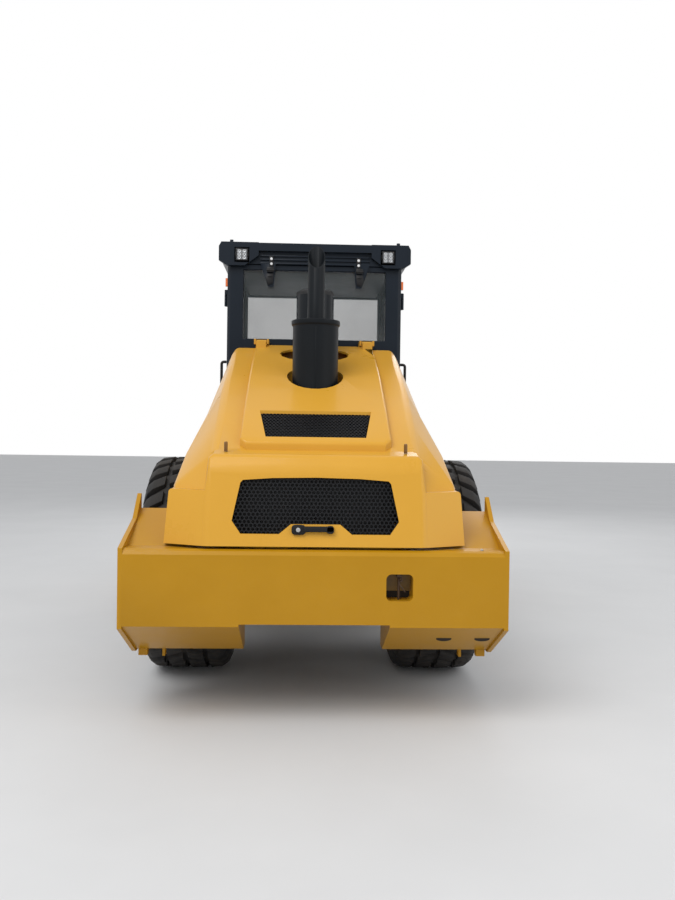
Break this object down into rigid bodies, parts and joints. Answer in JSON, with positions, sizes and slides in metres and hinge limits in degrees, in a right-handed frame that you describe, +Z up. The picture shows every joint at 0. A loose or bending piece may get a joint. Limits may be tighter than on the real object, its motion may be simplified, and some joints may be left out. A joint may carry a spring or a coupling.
{
  "type": "single-drum road roller",
  "caption": "Articulated ride-on soil compactor with a smooth steel drum in front, two lugged tyres behind, a glazed cab and a tilting engine hood.",
  "frame": {"origin": "on the ground, under the middle of the overall length and width", "axes": "+Y forward to the drum, +X the machine's right, +Z up"},
  "size_m": [2.3, 5.52, 3.214],
  "materials": {
    "painted_yellow": "gloss",
    "frame_grey": "satin",
    "cab_grey": "satin",
    "drum_steel": "worn",
    "tyre": "matte",
    "rim_paint": "satin",
    "glass": "clear",
    "lamp": "clear",
    "mesh_black": "matte",
    "black_plastic": "textured",
    "engine_iron": "matte",
    "seat_cloth": "woven",
    "rubber": "matte",
    "orange": "clear",
    "chrome": "polished",
    "muffler_black": "matte",
    "smoked": "smoked"
  },
  "bodies": {
    "rear_frame": {"rear_chassis": "frame_grey", "bay_walls": "frame_grey", "rear_axle": "frame_grey", "counterweight": "painted_yellow", "tow_pin": "engine_iron", "engine_block": "engine_iron", "cooler": "mesh_black", "platform": "cab_grey", "side_tanks": "cab_grey", "access_steps": "cab_grey", "handrails": "black_plastic", "cab_frame": "cab_grey", "cab_roof": "cab_grey", "rear_glass": "glass", "windscreen": "glass", "work_lamps": "lamp", "side_markers": "orange", "seat": "seat_cloth", "console": "black_plastic", "steering_wheel": "black_plastic", "hood_hinges": "frame_grey"},
    "hood": {"hood_shell": "painted_yellow", "grilles": "mesh_black", "hood_fittings": "black_plastic", "muffler": "muffler_black", "air_precleaner": "smoked"},
    "left_door": {"left_door": "cab_grey", "left_door_glass": "glass"},
    "right_door": {"right_door": "cab_grey", "right_door_glass": "glass"},
    "left_wheel": {"left_tyre": "tyre", "left_rim": "rim_paint"},
    "right_wheel": {"right_tyre": "tyre", "right_rim": "rim_paint"},
    "left_steer_barrel": {"left_steer_barrel": "frame_grey"},
    "right_steer_barrel": {"right_steer_barrel": "frame_grey"},
    "left_steer_rod": {"left_steer_rod": "chrome"},
    "right_steer_rod": {"right_steer_rod": "chrome"},
    "hitch": {"centre_hitch": "frame_grey"},
    "drum_frame": {"drum_frame": "painted_yellow", "drum_scrapers": "frame_grey", "drum_isolators": "rubber", "drum_carriers": "painted_yellow"},
    "drum": {"drum": "drum_steel"}
  },
  "joints": [
    {"name": "left_wheel_spin", "type": "hinge", "parent": "rear_frame", "child": "left_wheel", "pos_m": [-0.847, -1.33, 0.75], "axis": [1, 0, 0], "continuous": true},
    {"name": "left_door_hinge", "type": "hinge", "parent": "rear_frame", "child": "left_door", "pos_m": [-0.714, -0.612, 2.2], "axis": [0, 0, 1], "range_deg": [0, 95]},
    {"name": "left_barrel_pin", "type": "hinge", "parent": "rear_frame", "child": "left_steer_barrel", "pos_m": [-0.262, -0.36, 0.655], "axis": [0, 0, 1], "range_deg": [-3, 1]},
    {"name": "left_rod_slide", "type": "slide", "parent": "left_steer_barrel", "child": "left_steer_rod", "axis": [0.0567, 0.9984, 0], "range_m": [-0.16, 0.16]},
    {"name": "right_wheel_spin", "type": "hinge", "parent": "rear_frame", "child": "right_wheel", "pos_m": [0.847, -1.33, 0.75], "axis": [1, 0, 0], "continuous": true},
    {"name": "right_door_hinge", "type": "hinge", "parent": "rear_frame", "child": "right_door", "pos_m": [0.714, -0.612, 2.2], "axis": [0, 0, -1], "range_deg": [0, 95]},
    {"name": "right_barrel_pin", "type": "hinge", "parent": "rear_frame", "child": "right_steer_barrel", "pos_m": [0.262, -0.36, 0.655], "axis": [0, 0, 1], "range_deg": [-1, 3]},
    {"name": "right_rod_slide", "type": "slide", "parent": "right_steer_barrel", "child": "right_steer_rod", "axis": [-0.0567, 0.9984, 0], "range_m": [-0.16, 0.16]},
    {"name": "hood_hinge", "type": "hinge", "parent": "rear_frame", "child": "hood", "pos_m": [0, -0.845, 2.392], "axis": [-1, 0, 0], "range_deg": [0, 25]},
    {"name": "steer", "type": "hinge", "parent": "rear_frame", "child": "hitch", "pos_m": [0, 0.34, 0.8], "axis": [0, 0, 1], "range_deg": [-35, 35]},
    {"name": "oscillation", "type": "hinge", "parent": "hitch", "child": "drum_frame", "pos_m": [0, 0.64, 0.8], "axis": [0, 1, 0], "range_deg": [-10, 10]},
    {"name": "drum_spin", "type": "hinge", "parent": "drum_frame", "child": "drum", "pos_m": [0, 1.72, 0.77], "axis": [1, 0, 0], "continuous": true}
  ],
  "couplings": [
    {"joint": "left_rod_slide", "follows": "steer", "m_per_rad": -0.24},
    {"joint": "right_rod_slide", "follows": "steer", "m_per_rad": 0.24}
  ]
}
